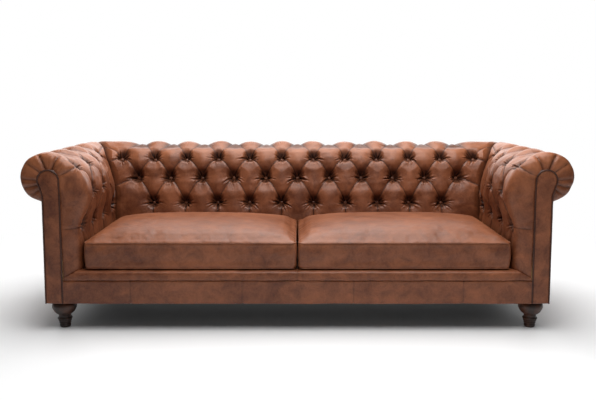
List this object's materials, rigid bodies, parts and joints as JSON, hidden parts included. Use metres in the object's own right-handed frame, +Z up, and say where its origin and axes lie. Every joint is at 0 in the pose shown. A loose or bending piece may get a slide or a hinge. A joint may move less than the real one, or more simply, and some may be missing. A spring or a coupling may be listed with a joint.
{
  "type": "chesterfield sofa",
  "caption": "Long leather sofa with a deep-buttoned back and rolled arms of one height, loose seat cushions and turned wooden feet.",
  "frame": {"origin": "on the floor, under the middle of the sofa's outer box", "axes": "+X to the right as seen from the front, +Y to the back of the sofa, +Z up"},
  "size_m": [2.4002, 0.9602, 0.7926],
  "materials": {
    "cover_leather": "satin",
    "cushion_leather": "satin",
    "padded_leather": "satin",
    "button_leather": "satin",
    "foam": "matte",
    "frame_wood": "matte",
    "foot_wood": "satin",
    "spring_steel": "satin",
    "plated_steel": "satin",
    "webbing": "matte",
    "hessian": "matte",
    "deck_cloth": "matte",
    "dust_cloth": "matte"
  },
  "bodies": {
    "frame": {"arm_buttons_left": "button_leather", "arm_buttons_right": "button_leather", "arm_facing_left": "padded_leather", "arm_facing_right": "padded_leather", "arm_pad_left": "padded_leather", "arm_pad_right": "padded_leather", "arm_tack_rail_left": "frame_wood", "arm_tack_rail_right": "frame_wood", "arm_top_rail_left": "frame_wood", "arm_top_rail_right": "frame_wood", "arm_webbing_left": "webbing", "arm_webbing_right": "webbing", "back_buttons": "button_leather", "back_pad": "padded_leather", "back_rail": "frame_wood", "back_stud_centre": "frame_wood", "back_stud_left": "frame_wood", "back_stud_right": "frame_wood", "back_tack_rail": "frame_wood", "back_top_rail": "frame_wood", "back_webbing": "webbing", "corner_block_back_left": "frame_wood", "corner_block_back_right": "frame_wood", "corner_block_front_left": "frame_wood", "corner_block_front_right": "frame_wood", "corner_post_left": "frame_wood", "corner_post_right": "frame_wood", "deck_cover": "deck_cloth", "deck_foam": "foam", "dust_cover": "dust_cloth", "foot_back_left": "foot_wood", "foot_back_right": "foot_wood", "foot_bolt_back_left": "plated_steel", "foot_bolt_back_right": "plated_steel", "foot_bolt_front_left": "plated_steel", "foot_bolt_front_right": "plated_steel", "foot_front_left": "foot_wood", "foot_front_right": "foot_wood", "front_border": "cover_leather", "front_lip": "padded_leather", "front_post_left": "frame_wood", "front_post_right": "frame_wood", "front_rail": "frame_wood", "outside_arm_left": "cover_leather", "outside_arm_right": "cover_leather", "outside_back": "cover_leather", "seat_hessian": "hessian", "seat_springs": "spring_steel", "seat_stretcher_left": "frame_wood", "seat_stretcher_right": "frame_wood", "side_rail_left": "frame_wood", "side_rail_right": "frame_wood", "spring_clips": "spring_steel", "spring_ties": "spring_steel"},
    "cushion_left": {"cushion_cover_left": "cushion_leather", "cushion_foam_left": "foam"},
    "cushion_right": {"cushion_cover_right": "cushion_leather", "cushion_foam_right": "foam"}
  },
  "joints": [
    {"name": "cushion_left_pull", "type": "slide", "parent": "frame", "child": "cushion_left", "axis": [0, -1, 0], "range_m": [0, 0.6]},
    {"name": "cushion_right_pull", "type": "slide", "parent": "frame", "child": "cushion_right", "axis": [0, -1, 0], "range_m": [0, 0.6]}
  ]
}
